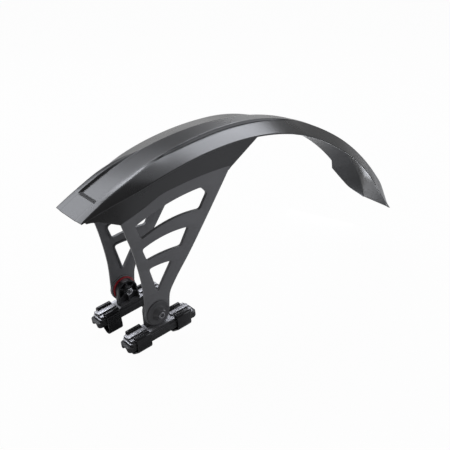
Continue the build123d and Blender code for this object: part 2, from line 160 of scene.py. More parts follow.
# Half widths and heights over the arc, each as (angle, size) stops.
STRIP_HALVES = ((BAND_END, 18.3), (STRIP_FULL, 16.6), (CREST, 13.7), (STRIP_NARROW, 12.0),
                (STRIP_TAPER, 11.0), (STRIP_NECK, 9.2), (STRIP_END, 6.0), (TAIL, 27.0))
STRIP_RISES = ((PANEL_START, 0.0), (PANEL_FLOOR, -2.2), (STRIP_END, -2.0), (REAR_FIRST, -0.4),
               (REAR_SECOND, 2.2), (SKIRT_STEP, 4.2), (TAIL_TURN, 5.6), (TAIL, 0.5))
# The strip swells a little just inside its edges, which keeps its gloss even right up to them.
STRIP_SWELL_RUN = 1.6
STRIP_SWELL = 0.12
BAND_RUNS = ((BAND_MID, 2.6), (BAND_END, 0.3))
BAND_RISES = ((PANEL_START, 0.2), (PANEL_FLOOR, 0.8), (BAND_TURN, 0.8), (BAND_END, -2.2))
BAND_CHAMFER = 0.3
RIDGE_HALVES = ((TIP, 31.6), (PANEL_START, 31.0), (BAND_TURN, 30.3), (BAND_MID, 25.8))
RIDGE_RISES = ((TIP, -0.3), (PANEL_START, -0.3), (BAND_TURN, 0.0), (BAND_MID, -1.7))
RIDGE_ROUNDS = ((BAND_MID, 1.8), (BAND_END, 0.45))
STEP_RUN = 1.2
STEP_DROPS = ((BAND_END, 2.9), (STRIP_FULL, 4.7), (CREST, 4.5), (STRIP_NARROW, 4.0), (STRIP_TAPER, 2.6),
              (STRIP_NECK, 1.2), (STRIP_END, 0.6))
EDGE_HALVES = ((TIP, 32.2), (SHOULDER, 43.0), (WING_FULL, 48.5), (BAND_END, 50.6), (CREST, 52.6),
               (STRIP_NARROW, 54.2), (STRIP_TAPER, 54.4), (STRIP_END, 51.0), (REAR_SECOND, 45.0),
               (SKIRT_STEP, 43.2))
EDGE_RISES = ((TIP, -1.0), (SHOULDER, -11.0), (CREST, -11.2), (STRIP_NARROW, -11.2), (STRIP_TAPER, -12.0),
              (STRIP_END, -15.3), (REAR_FIRST, -17.6), (SKIRT_STEP, -16.2))
SKIRT_EDGES = ((50.0, -20.7), (47.8, -19.7), (45.5, -17.4), (42.2, -12.6), (33.5, 0.0))
# Lengths of the blade, each smooth along its angles.
BLADE_LENGTHS = (
    (TIP, TIP_MID, PANEL_START),
    (PANEL_START, PANEL_FLOOR),
    (PANEL_FLOOR, BAND_TURN, BAND_MID, BAND_END, STRIP_FULL, CREST, STRIP_NARROW, STRIP_TAPER, STRIP_NECK,
     STRIP_END),
    (STRIP_END, REAR_FIRST, REAR_SECOND, SKIRT_STEP),
    (SKIRT_STEP, SKIRT_START),
    (SKIRT_START, SKIRT_MID, TAIL_TURN, TAIL_MID, TAIL),
)
ROW_STEP = 0.7
ROW_CLOSE = 0.12
# A rounded corner has this many points and takes up no more than this share of either side of it.
CORNER_POINTS = 4
CORNER_SHARE = 0.45

# Side walls and legs.
SIDE_WALL = 2.0
SIDE_INSET = 1.0
SIDE_END = 4.0
FOLD_STEP = 0.5
LEG_OUTER = 45.5
LEG_FRONT, FOLD_SECOND, FOLD_THIRD, FOLD_FOURTH, FOLD_FIFTH, LEG_REAR = -27.1, -22.7, -17.8, -12.8, -6.3, -2.3
FOLD_HALVES = ((TIP, 32.0), (TIP_MID, 36.2), (LEG_FRONT, LEG_OUTER))
FOLD_RISES = ((TIP, -2.2), (TIP_MID, -9.0), (LEG_FRONT, -34.4), (FOLD_SECOND, -37.9), (FOLD_THIRD, -40.8),
              (FOLD_FOURTH, -44.2), (FOLD_FIFTH, -48.2), (SIDE_END, -50.0))
SIDE_LAPS = ((LEG_FRONT, 1.0), (FOLD_SECOND, 3.0))
LEG_LAPS = ((FOLD_SECOND, 0.5), (FOLD_THIRD, 4.5))
WALL_REAR_TOP = (172.0, 218.4)
LEG_FOLDS = (LEG_FRONT, FOLD_SECOND, FOLD_THIRD, FOLD_FOURTH, FOLD_FIFTH)
SIDE_LENGTHS = ((SIDE_START, TIP_MID, LEG_FRONT), (*LEG_FOLDS, CREST, SIDE_END))
LEG_WALL = 3.0
FOOT_RADIUS = 20.0
FOOT_DEPTH = 4.5
LEG_FRONT_LINE = ((-44.0, 132.8), (-36.2, 109.8), (-28.4, 79.5), (-21.9, 44.0))
LEG_HEEL = (-19.6, 5.4)
LEG_TOE = (20.0, 4.0)
LEG_REAR_LINE = ((22.0, 24.5), (30.2, 39.1), (57.0, 75.3), (83.8, 114.6), (110.5, 155.2))
UPPER_TOP = ((-29.6, 141.5), (20.0, 158.3), (78.5, 166.8))
UPPER_CORNER = (89.0, 155.6)
UPPER_FLOOR = ((76.3, 134.7), (28.0, 133.9), (-20.5, 119.3))
MIDDLE_TOP = ((-20.1, 104.8), (18.0, 114.6), (56.5, 114.6))
MIDDLE_FLOOR = ((42.9, 89.2), (16.0, 89.4), (-13.0, 85.6))
LOWER_TOP = ((-10.7, 72.1), (8.0, 73.8), (27.0, 72.4))
LOWER_POINT = (1.5, 31.5)
HOLE_ROUND = 4.0
COLLAR_DEPTH = 5.0
COLLAR_WALL = 2.2
COLLAR_SKIN = 0.05
# Points along a line between two places, along an arc, round half the foot and round a loop's corner.
LINE_STEPS, ARC_STEPS, FOOT_STEPS, LOOP_STEPS = 8, 14, 32, 6

# Clamps, drawn level about the pivot and then tipped.
SHOE_TIP = math.radians(-7.6)
RAIL_X = 0.8
RAIL_Y = 39.1
DECK_LENGTH = 108.0
DECK_TOP = -24.7
TABLE_INSET = 2.0
TABLE_HALF = 11.4
TABLE_NECK = 5.9
TABLE_TOP = -20.4
TABLE_SUNK = 0.5
TABLE_ROUND = 1.5
LIP_TOP = -21.8
LIP_MIDDLE = 10.9
HOOK_SIDE = 3.6
HOOK_LEG = 2.4
STRAP_OFFSET = 34.2
STRAP_WIDTH = 23.0
STRAP_WALL = 2.2
STRAP_EDGE = 0.9
STRAP_EASE = 0.3
STRAP_BEND = 9.0
STRAP_OUTER_LOW = -39.5
STRAP_INNER_LOW = -61.2
HOOK_STEPS = 12
BEND_STEPS = 8
EDGE_STEPS = 3
RIB_COUNT = 4
RIB_PITCH = 3.6
RIB_SIZE = 0.9
RIB_SHARE = 0.86
RIB_SIDES = 12
FIRST_RIB = (-15.3, LIP_TOP, 0.0)
DECK_UP = (-0.132, 0.0, 0.991)


class Wire:
    """One socket of a material's tree. Sums on it add Math nodes."""

    def __init__(self, finish, socket):
        self.finish = finish
        self.socket = socket

    def maths(self, operation, *values):
        return self.finish.add("ShaderNodeMath", {"operation": operation}, dict(enumerate(values)))

    def __add__(self, other):
        return self.maths("ADD", self, other)

    def __sub__(self, other):
        return self.maths("SUBTRACT", self, other)

    def __rsub__(self, other):
        return self.maths("SUBTRACT", other, self)

    def __mul__(self, other):
        return self.maths("MULTIPLY", self, other)

    __radd__ = __add__
    __rmul__ = __mul__


class Finish:
    """A material or a sky made of nodes, with one way of adding each of them."""

    def __init__(self, holder, output="ShaderNodeOutputMaterial"):
        self.holder = holder
        self.output = output
        holder.use_nodes = True
        self.tree = holder.node_tree
        self.tree.nodes.clear()

    def add(self, kind, settings=None, inputs=None, out=0):
        node = self.tree.nodes.new(kind)
        for key, value in (settings or {}).items():
            setattr(node, key, value)
        for key, value in (inputs or {}).items():
            if isinstance(value, Wire):
                self.tree.links.new(value.socket, node.inputs[key])
            else:
                node.inputs[key].default_value = value
        return Wire(self, node.outputs[out])

    def shade(self, **inputs):
        """Ends the tree in a Principled shader."""
        named = {key.replace("_", " "): value for key, value in inputs.items()}
        return self.close(self.add("ShaderNodeBsdfPrincipled", None, named))

    def close(self, surface):
        """Ends the tree in its output and gives what it is on."""
        output = self.tree.nodes.new(self.output)
        self.tree.links.new(surface.socket, output.inputs["Surface"])
        return self.holder

    def place(self):
        """Where a point lies, in the piece's own metres."""
        return self.add("ShaderNodeTexCoord", out="Object")

    def seen_by(self, ray):
        """1 for rays of one kind, such as Is Camera Ray, and 0 for the rest."""
        return self.add("ShaderNodeLightPath", out=ray)

    def noise(self, scale, detail=2.0):
        inputs = {"Vector": self.place(), "Scale": scale, "Detail": detail}
        return self.add("ShaderNodeTexNoise", None, inputs)

    def towards(self, vector, way):
        """How much a vector points one way: 1 along it and 0 across it."""
        inputs = {0: vector, 1: way}
        return self.add("ShaderNodeVectorMath", {"operation": "DOT_PRODUCT"}, inputs, out="Value")

    def ranged(self, value, low, high, start=0.0, end=1.0):
        """A value carried from one range to another and held at its ends."""
        inputs = {"Value": value, "From Min": low, "From Max": high, "To Min": start, "To Max": end}
        return self.add("ShaderNodeMapRange", None, inputs)

    def tint(self, mask, dark, light):
        return self.add("ShaderNodeMix", {"data_type": "RGBA"},
                        {0: mask, 6: (*dark, 1.0), 7: (*light, 1.0)}, out=2)

    def bump(self, height, strength, distance):
        inputs = {"Height": height, "Strength": strength, "Distance": distance}
        return self.add("ShaderNodeBump", None, inputs)


def toned(colour, tone):
    """A colour made darker or lighter."""
    return [min(1.0, value * tone) for value in colour]


def drifted(middle, drift, cloud):
    """A value that drifts about its middle with a cloud."""
    return middle - drift / 2 + drift * cloud


def moulded_plastic(name, colour, rough, grain, depth, gloss=0.5):
    """Satin moulded plastic: a fine spark grain, and slow changes of tone and gloss."""
    finish = Finish(bpy.data.materials.new(name))
    cloud = finish.noise(PLASTIC_CLOUDS, PLASTIC_DETAIL)
    fine = finish.noise(grain)
    darker, lighter = [toned(colour, tone) for tone in PLASTIC_TONES]
    return finish.shade(Base_Color=finish.tint(cloud, darker, lighter),
                        Roughness=drifted(rough, PLASTIC_DRIFT, cloud), Specular_IOR_Level=gloss,
                        Normal=finish.bump(fine, PLASTIC_GRAIN, depth))


def rubber(name, colour, rough, grain, depth):
    """Rubber with a fine grain, cloudy in tone."""
    finish = Finish(bpy.data.materials.new(name))
    cloud = finish.noise(RUBBER_CLOUDS, RUBBER_DETAIL)
    fine = finish.noise(grain, RUBBER_DETAIL)
    return finish.shade(Base_Color=finish.tint(cloud, colour, toned(colour, RUBBER_TONE)),
                        Roughness=drifted(rough, RUBBER_DRIFT, fine),
                        Normal=finish.bump(fine, RUBBER_GRAIN, depth))


def plastic_with_painted_top_sheen(name, colour, painted_sheen_colour, rough, grain, depth, gloss):
    """Moulded plastic whose faces turned up get a painted sheen, a lighter metallic colour standing in for the
    light on them.
    """
    finish = Finish(bpy.data.materials.new(name))
    facing = finish.add("ShaderNodeTexCoord", out="Normal")
    level = finish.ranged(finish.towards(facing, DECK_UP), *DECK_SHEEN_LEVEL)
    # Painted sheen: faces turned up are mixed towards a lighter, metallic colour.
    sheen_mask = level * (DECK_SHEEN + DECK_SHEEN_DRIFT * finish.noise(DECK_SHEEN_CLOUDS))
    return finish.shade(Base_Color=finish.tint(sheen_mask, colour, painted_sheen_colour), Metallic=DECK_SHEEN_METAL * sheen_mask,
                        Roughness=drifted(rough, PLASTIC_DRIFT, finish.noise(SHOE_CLOUDS)),
                        Specular_IOR_Level=gloss,
                        Normal=finish.bump(finish.noise(grain), PLASTIC_GRAIN, depth))


def steel(name, colour, rough):
    """Bare steel, a little uneven in gloss."""
    finish = Finish(bpy.data.materials.new(name))
    cloud = finish.noise(STEEL_CLOUDS, STEEL_DETAIL)
    return finish.shade(Base_Color=finish.tint(cloud, colour, toned(colour, STEEL_TONE)), Metallic=1.0,
                        Roughness=drifted(rough, STEEL_DRIFT, cloud))


def body_of(node):
    return next(body for body, nodes in frame["record"]["behaviour"]["bodies"].items() if node in nodes)


def slot_of(node):
    return next(part["material_slot"] for part in frame["record"]["subparts"] if part["node"] == node)


def evaluated(holder):
    """Mesh of an object with its modifiers; the object itself is used up."""
    bpy.context.scene.collection.objects.link(holder)
    graph = bpy.context.evaluated_depsgraph_get()
    mesh = bpy.data.meshes.new_from_object(holder.evaluated_get(graph))
    bpy.data.objects.remove(holder)
    return mesh


def eased_copy(node, width, steps=EASE_STEPS):
    """Mesh of a solid with its facets merged and its sharp edges rounded."""
    shell = bmesh.new()
    shell.from_mesh(frame["nodes"][node].data)
    bmesh.ops.remove_doubles(shell, verts=shell.verts, dist=MERGE)
    bmesh.ops.dissolve_limit(shell, angle_limit=FLAT_TURN, verts=shell.verts, edges=shell.edges,
                             delimit={"NORMAL"})
    mesh = bpy.data.meshes.new(node)
    shell.to_mesh(mesh)
    shell.free()
    holder = bpy.data.objects.new(node, mesh)
    bevel = holder.modifiers.new("ease", "BEVEL")
    bevel.width = width
    bevel.segments = steps
    bevel.limit_method = "ANGLE"
    bevel.angle_limit = EASED_TURN
    eased_mesh = evaluated(holder)
    bpy.data.meshes.remove(mesh)
    return eased_mesh


def between(value, stops):
    """Value read off a line drawn through (place, size) stops."""
    if value <= stops[0][0]:
        return stops[0][1]
    for (a, low), (b, high) in zip(stops, stops[1:]):
        if value <= b:
            return low + (high - low) * (value - a) / (b - a)
    return stops[-1][1]


def eased(value, places, sizes):
    """Value read off a smooth line through sizes at places."""
    slopes = [(b - a) / (q - p) for p, q, a, b in zip(places, places[1:], sizes, sizes[1:])]
    leans = [slopes[0]] + [(a + b) / 2 for a, b in zip(slopes, slopes[1:])] + [slopes[-1]]
    for spot in range(len(slopes)):
        if value <= places[spot + 1] or spot == len(slopes) - 1:
            run = places[spot + 1] - places[spot]
            t = (value - places[spot]) / run
            start = sizes[spot] * (1 + 2 * t) + leans[spot] * run * t
            end = sizes[spot + 1] * (3 - 2 * t) - leans[spot + 1] * run * (1 - t)
            return start * (1 - t) ** 2 + end * t * t


def on_arc(angle, half, rise):
    """Point of the blade: angle from the crest, distance from the middle, height over the arc."""
    radius = FRONT_RADIUS if angle < 0 else REAR_RADIUS
    turn = math.radians(angle)
    reach = radius + rise
    return Vector((CREST_X + reach * math.sin(turn), half, CREST_Z - radius + reach * math.cos(turn)))


def to_frame(point):
    """From millimetres about the pivot to the frame."""
    return Vector((PIVOT.x + point.x * MM, point.y * MM, PIVOT.z + point.z * MM))


def edge_at(angle):
    """Half width and height of the wing's outer edge."""
    return between(angle, EDGE_HALVES), between(angle, EDGE_RISES)


def half_section(angle):
    """Corners of the blade's right half, from the strip's edge out to the wing's root."""
    strip = between(angle, STRIP_HALVES)
    strip_rise = between(angle, STRIP_RISES)
    band = strip + between(angle, BAND_RUNS)
    if angle < BAND_END:
        return [(strip, strip_rise), (band, between(angle, BAND_RISES)),
                (between(angle, RIDGE_HALVES), between(angle, RIDGE_RISES))]
    return [(strip, strip_rise), (band, strip_rise - BAND_CHAMFER),
            (strip + STEP_RUN, strip_rise - between(angle, STEP_DROPS))]


def blade_outline(angle, edge):
    """Closed outline of the blade across the arc at one angle."""
    top = half_section(angle) + [edge]
    strip, strip_rise = top[0]
    top.insert(0, (strip - STRIP_SWELL_RUN, strip_rise + STRIP_SWELL))
    under = [(half, rise - between(angle, BLADE_WALLS)) for half, rise in reversed(top)]
    # Outside the strip the underside lies a little further in than the top.
    right = top + [(half - EDGE_LEAN, rise) for half, rise in under[:-2]] + under[-2:]
    return right + [(-half, rise) for half, rise in reversed(right)]


def bend(start, corner, end, share):
    """Point of the short curve that rounds a corner."""
    rest = 1 - share
    return start * rest ** 2 + corner * 2 * share * rest + end * share * share


def softened(corners, rounds):
    """Outline with each corner turned into a short curve of a fixed number of points."""
    points = []
    count = len(corners)
    for spot, round_size in enumerate(rounds):
        here = Vector(corners[spot])
        legs = [Vector(corners[spot - 1]) - here, Vector(corners[(spot + 1) % count]) - here]
        start, end = [here + leg.normalized() * min(round_size, CORNER_SHARE * leg.length) for leg in legs]
        for step in range(CORNER_POINTS):
            points.append(bend(start, here, end, step / (CORNER_POINTS - 1)))
    return points


def rows_along(lengths, outlines):
    """Outlines at close steps, smooth within each length: (angle, corners) pairs."""
    rows = []
    for angles, shapes in zip(lengths, outlines):
        start, end = angles[0], angles[-1]
        count = max(2, math.ceil((end - start) / ROW_STEP))
        spots = [start + (end - start) * step / count for step in range(1, count)]
        spots = [start, start + ROW_CLOSE, *spots, end - ROW_CLOSE, end]
        for angle in spots[1 if rows else 0:]:
            corners = [tuple(eased(angle, angles, sizes) for sizes in zip(*corner))
                       for corner in zip(*shapes)]
            rows.append((angle, corners))
    return rows


def skinned(rows):
    """Closed mesh over rows of points, with a face at each end."""
    shell = bmesh.new()
    rings = [[shell.verts.new(to_frame(point)) for point in row] for row in rows]
    for one, two in zip(rings, rings[1:]):
        for spot in range(len(one)):
            shell.faces.new((one[spot - 1], one[spot], two[spot], two[spot - 1]))
    shell.faces.new(rings[0])
    shell.faces.new(reversed(rings[-1]))
    bmesh.ops.recalc_face_normals(shell, faces=shell.faces)
    mesh = bpy.data.meshes.new("skin")
    shell.to_mesh(mesh)
    shell.free()
    return mesh


def blade_skin(round_size):
    """The blade, with its front end cut to the tip's bowed line."""
    outlines = []
    for angles in BLADE_LENGTHS:
        edges = [edge_at(angle) for angle in angles]
        if angles[0] == SKIRT_START:
            edges = SKIRT_EDGES
        elif angles[0] == SKIRT_STEP:
            edges = [edge_at(SKIRT_STEP), SKIRT_EDGES[0]]
        outlines.append([blade_outline(angle, edge) for angle, edge in zip(angles, edges)])
    tip_x = on_arc(TIP, 0, 0).x
    tip_half = between(TIP, RIDGE_HALVES)
    rows = []
    for angle, corners in rows_along(BLADE_LENGTHS, outlines):
        row = []
        # The strip's swell, its edge and the band; the ridge; both sides of the wing's edge; the underside.
        half_rounds = [round_size] * 3 + [between(angle, RIDGE_ROUNDS)] + [EDGE_ROUND] * 2 + [round_size] * 4
        for half, rise in softened(corners, half_rounds + half_rounds[::-1]):
            bow = TIP_BULGE * max(0.0, 1.0 - (half / tip_half) ** 2)
            cut = math.degrees(math.asin((tip_x - bow - CREST_X) / (FRONT_RADIUS + rise)))
            share = max(0.0, (PANEL_START - angle) / (PANEL_START - TIP))
            row.append(on_arc(angle + (cut - TIP) * share, half, rise))
        rows.append(row)
    return skinned(rows)


def inside_wing(angle, half):
    """Height of the middle of the wing's wall at a distance from the middle plane."""
    edge, edge_rise = edge_at(angle)
    root, root_rise = half_section(angle)[-1]
    slope = (root_rise - edge_rise) / (edge - root)
    return min(edge_rise + (edge - half) * slope, root_rise) - between(angle, BLADE_WALLS) / 2


def side_outline(angle):
    """Outline across one side wall, from inside the wing down past the fold."""
    rise = between(angle, FOLD_RISES)
    outer = between(angle, FOLD_HALVES) - FOLD_STEP
    inner = outer - SIDE_WALL
    foot = rise - between(angle, SIDE_LAPS)
    top_outer = edge_at(angle)[0] - SIDE_INSET
    top_inner = top_outer - SIDE_WALL
    return [(top_outer, inside_wing(angle, top_outer)), (outer, rise), (outer, foot),
            (inner, foot), (inner, rise), (top_inner, inside_wing(angle, top_inner))]


def side_point(angle, over=0.0):
    """Place of the fold in the side view, or over it."""
    spot = on_arc(angle, 0, between(angle, FOLD_RISES) + over)
    return spot.x, spot.z


def side_skin(sign, round_size):
    """One side wall, with its rear end cut along a sloping line."""
    outlines = [[side_outline(angle) for angle in angles] for angles in SIDE_LENGTHS]
    low_rise = between(LEG_REAR, FOLD_RISES)
    top_x, top_z = WALL_REAR_TOP
    drop = CREST_Z - REAR_RADIUS
    top_angle = math.degrees(math.atan2(top_x - CREST_X, top_z - drop))
    top_rise = math.hypot(top_x - CREST_X, top_z - drop) - REAR_RADIUS
    rows = []
    for angle, corners in rows_along(SIDE_LENGTHS, outlines):
        row = []
        for half, rise in softened(corners, [round_size] * len(corners)):
            end = LEG_REAR + (top_angle - LEG_REAR) * (rise - low_rise) / (top_rise - low_rise)
            share = max(0.0, (angle - FOLD_FIFTH) / (SIDE_END - FOLD_FIFTH))
            row.append(on_arc(angle + (end - SIDE_END) * share, sign * half, rise))
        rows.append(row)
    return skinned(rows)


def through(points):
    """Points along a smooth line through a few points."""
    places = [0.0]
    for one, two in zip(points, points[1:]):
        places.append(places[-1] + (Vector(two) - Vector(one)).length)
    count = LINE_STEPS * (len(points) - 1)
    spots = [places[-1] * step / count for step in range(count + 1)]
    return [tuple(eased(spot, places, sizes) for sizes in zip(*points)) for spot in spots]


def arc_through(first, middle, last, steps=ARC_STEPS):
    """Points along the circle through three points."""
    a, b, c = Vector(first), Vector(middle), Vector(last)
    twice = 2 * (a.x * (b.y - c.y) + b.x * (c.y - a.y) + c.x * (a.y - b.y))
    x = (a.dot(a) * (b.y - c.y) + b.dot(b) * (c.y - a.y) + c.dot(c) * (a.y - b.y)) / twice
    y = (a.dot(a) * (c.x - b.x) + b.dot(b) * (a.x - c.x) + c.dot(c) * (b.x - a.x)) / twice
    centre = Vector((x, y))
    turns = [math.atan2(point.y - y, point.x - x) for point in (a, b, c)]
    sweep = (turns[2] - turns[0]) % math.tau
    if (turns[1] - turns[0]) % math.tau > sweep:
        sweep -= math.tau
    reach = (a - centre).length
    angles = [turns[0] + sweep * step / steps for step in range(steps + 1)]
    return [(x + reach * math.cos(angle), y + reach * math.sin(angle)) for angle in angles]


def rounded_loop(lines, round_size):
    """Closed loop of lines with rounded corners: each line is cut back at both ends."""
    cut_lines = []
    for line in lines:
        points = [Vector(point) for point in line]
        for _ in range(2):
            points.reverse()
            left = round_size
            while (points[1] - points[0]).length < left:
                left -= (points[1] - points[0]).length
                points.pop(0)
            points[0] = points[0] + (points[1] - points[0]).normalized() * left
        cut_lines.append(points)
    loop = []
    for line, cut, following in zip(lines, cut_lines, cut_lines[1:] + cut_lines[:1]):
        loop += cut
        start, corner, end = cut[-1], Vector(line[-1]), following[0]
        loop += [bend(start, corner, end, step / LOOP_STEPS) for step in range(1, LOOP_STEPS)]
    return [tuple(point) for point in loop]


def grown(loop, amount):
    """Loop moved outwards by an amount."""
    area = sum(a[0] * b[1] - b[0] * a[1] for a, b in zip(loop, loop[1:] + loop[:1]))
    turn = math.copysign(amount, area)
    moved = []
    for before, here, after in zip(loop[-1:] + loop[:-1], loop, loop[1:] + loop[:1]):
        along = (Vector(after) - Vector(before)).normalized()
        moved.append((here[0] + along.y * turn, here[1] - along.x * turn))
    return moved


def drawn(name, dimensions, lines, closed):
    """Curve of straight runs along lines of points."""
    curve = bpy.data.curves.new(name, "CURVE")
    curve.dimensions = dimensions
    for line in lines:
        spline = curve.splines.new("POLY")
        spline.points.add(len(line) - 1)
        for point, (u, v) in zip(spline.points, line):
            point.co = (u, v, 0.0, 1.0)
        spline.use_cyclic_u = closed
    return curve


def plate(loops, thickness, round_size, placed):
    """Flat plate with rounded edges, out of flat loops; placed puts (u, v, height) in the frame."""
    curve = drawn("plate", "2D", loops, True)
    curve.fill_mode = "BOTH"
    curve.extrude = thickness / 2 - round_size
    curve.bevel_depth = round_size
    curve.bevel_resolution = PLATE_EASE_STEPS
    curve.offset = -round_size
    mesh = evaluated(bpy.data.objects.new("plate", curve))
    bpy.data.curves.remove(curve)
    for vertex in mesh.vertices:
        vertex.co = placed(*vertex.co)
    shell = bmesh.new()
    shell.from_mesh(mesh)
    bmesh.ops.remove_doubles(shell, verts=shell.verts, dist=MERGE)
    bmesh.ops.recalc_face_normals(shell, faces=shell.faces)
    shell.to_mesh(mesh)
    shell.free()
    return mesh


def leg_skins(sign, round_size):
    """One leg: its plate, the collar round each window and the round foot."""
    folds = [side_point(angle, between(angle, LEG_LAPS)) for angle in (*LEG_FOLDS, LEG_REAR)]
    fold_line = through(folds)
    front_line = through([folds[0], *LEG_FRONT_LINE, LEG_HEEL])
    foot_line = arc_through(LEG_HEEL, (0.0, -FOOT_RADIUS), LEG_TOE)
    rear_line = through([LEG_TOE, *LEG_REAR_LINE, folds[-1]])
    outline = fold_line[::-1][:-1] + front_line[:-1] + foot_line[:-1] + rear_line[:-1]
    windows = (
        (arc_through(*UPPER_TOP), [UPPER_TOP[-1], UPPER_CORNER], [UPPER_CORNER, UPPER_FLOOR[0]],
         arc_through(*UPPER_FLOOR), [UPPER_FLOOR[-1], UPPER_TOP[0]]),
        (arc_through(*MIDDLE_TOP), [MIDDLE_TOP[-1], MIDDLE_FLOOR[0]], arc_through(*MIDDLE_FLOOR),
         [MIDDLE_FLOOR[-1], MIDDLE_TOP[0]]),
        (arc_through(*LOWER_TOP), [LOWER_TOP[-1], LOWER_POINT], [LOWER_POINT, LOWER_TOP[0]]),
    )
    loops = [rounded_loop(lines, HOLE_ROUND) for lines in windows]
    foot = []
    for reach in (FOOT_RADIUS, -FOOT_RADIUS):
        foot += arc_through((-reach, 0.0), (0.0, reach), (reach, 0.0), FOOT_STEPS)[:-1]

    def upright(loops, outer, inner, ease):
        middle = (outer + inner) / 2

        def placed(u, v, height):
            return to_frame(Vector((u, sign * (middle - height), v)))

        return plate(loops, outer - inner, ease, placed)

    meshes = [upright([outline, *loops], LEG_OUTER, LEG_OUTER - LEG_WALL, round_size)]
    for loop in loops:
        ring = [grown(loop, COLLAR_WALL), grown(loop, -COLLAR_SKIN)]
        meshes.append(upright(ring, LEG_OUTER - round_size, LEG_OUTER - COLLAR_DEPTH,
                              COLLAR_EASE * round_size))
    meshes.append(upright([foot], LEG_OUTER - COLLAR_SKIN, LEG_OUTER - FOOT_DEPTH, round_size))
    return meshes


def tipped(sign, x, out, z):
    """From the level drawing of a clamp, out from the rail's middle, to the frame."""
    return to_frame(Matrix.Rotation(SHOE_TIP, 3, "Y") @ Vector((x, sign * (RAIL_Y + out), z)))


def deck_table(sign, round_size):
    """The raised plate of a shoe's deck, narrow between the straps' hooks."""
    near = STRAP_OFFSET - STRAP_WIDTH / 2 - STRAP_EASE
    far = STRAP_OFFSET + STRAP_WIDTH / 2 + STRAP_EASE
    end = DECK_LENGTH / 2 - TABLE_INSET
    edge = [(end, TABLE_HALF - TABLE_ROUND), (far, TABLE_HALF), (far, TABLE_NECK),
            (near, TABLE_NECK), (near, TABLE_HALF)]
    edge += [(-u, v) for u, v in reversed(edge)]
    corners = edge + [(-u, -v) for u, v in edge]
    loop = rounded_loop([[one, two] for one, two in zip(corners, corners[1:] + corners[:1])], TABLE_ROUND)
    middle = (TABLE_TOP + DECK_TOP - TABLE_SUNK) / 2
    return plate([loop], TABLE_TOP - DECK_TOP + TABLE_SUNK, round_size,
                 lambda u, v, height: tipped(sign, RAIL_X + u, v, middle + height))


def strap_tree():
    """Node tree of a strap: a rounded band along the path that it is given, with grip ribs near one end."""
    tree = bpy.data.node_groups.new("strap", "GeometryNodeTree")
    ask = tree.interface
    ask.new_socket("Path", in_out="INPUT", socket_type="NodeSocketGeometry")
    for name, value in (("Width", STRAP_WIDTH), ("Wall", STRAP_WALL), ("Edge round", STRAP_EDGE),
                        ("Bend", STRAP_BEND - STRAP_WALL / 2), ("Rib pitch", RIB_PITCH),
                        ("Rib size", RIB_SIZE)):
        ask.new_socket(name, in_out="INPUT", socket_type="NodeSocketFloat").default_value = value
    ask.new_socket("Rib count", in_out="INPUT", socket_type="NodeSocketInt").default_value = RIB_COUNT
    ask.new_socket("First rib", in_out="INPUT", socket_type="NodeSocketVector").default_value = FIRST_RIB
    ask.new_socket("Material", in_out="INPUT", socket_type="NodeSocketMaterial")
    ask.new_socket("Strap", in_out="OUTPUT", socket_type="NodeSocketGeometry")
    given = tree.nodes.new("NodeGroupInput")

    def add(kind, settings, *links):
        node = tree.nodes.new(kind)
        for key, value in settings.items():
            setattr(node, key, value)
        for source, socket in links:
            if hasattr(source, "is_output"):
                tree.links.new(source, node.inputs[socket])
            else:
                node.inputs[socket].default_value = source
        return node.outputs[0]

    asked = given.outputs
    path = add("GeometryNodeFilletCurve", {"mode": "POLY"}, (asked["Path"], "Curve"), (BEND_STEPS, "Count"),
               (asked["Bend"], "Radius"), (True, "Limit Radius"))
    section = add("GeometryNodeCurvePrimitiveQuadrilateral", {}, (asked["Wall"], "Width"),
                  (asked["Width"], "Height"))
    section = add("GeometryNodeFilletCurve", {"mode": "POLY"}, (section, "Curve"), (EDGE_STEPS, "Count"),
                  (asked["Edge round"], "Radius"), (True, "Limit Radius"))
    band = add("GeometryNodeCurveToMesh", {}, (path, "Curve"), (section, "Profile Curve"),
               (True, "Fill Caps"))
    reach = add("ShaderNodeMath", {"operation": "MULTIPLY"}, (asked["Width"], 0), (RIB_SHARE / 2, 1))
    ends = []
    for way in (-1.0, 1.0):
        side = add("ShaderNodeMath", {"operation": "MULTIPLY"}, (reach, 0), (way, 1))
        ends.append(add("ShaderNodeCombineXYZ", {}, (side, "Z")))
    bar = add("GeometryNodeCurvePrimitiveLine", {}, (ends[0], "Start"), (ends[1], "End"))
    rod = add("GeometryNodeCurvePrimitiveCircle", {}, (RIB_SIDES, "Resolution"),
              (asked["Rib size"], "Radius"))
    rib = add("GeometryNodeCurveToMesh", {}, (bar, "Curve"), (rod, "Profile Curve"), (True, "Fill Caps"))
    drop = add("ShaderNodeMath", {"operation": "MULTIPLY"}, (asked["Rib pitch"], 0), (-1.0, 1))
    step = add("ShaderNodeCombineXYZ", {}, (drop, "Y"))
    spots = add("GeometryNodeMeshLine", {}, (asked["Rib count"], "Count"),
                (asked["First rib"], "Start Location"), (step, "Offset"))
    ribs = add("GeometryNodeInstanceOnPoints", {}, (spots, "Points"), (rib, "Instance"))
    both = tree.nodes.new("GeometryNodeJoinGeometry")
    tree.links.new(band, both.inputs[0])
    tree.links.new(ribs, both.inputs[0])
    solid = add("GeometryNodeRealizeInstances", {}, (both.outputs[0], 0))
    done = add("GeometryNodeSetMaterial", {}, (solid, "Geometry"), (asked["Material"], "Material"))
    tree.links.new(done, tree.nodes.new("NodeGroupOutput").inputs[0])
    return tree


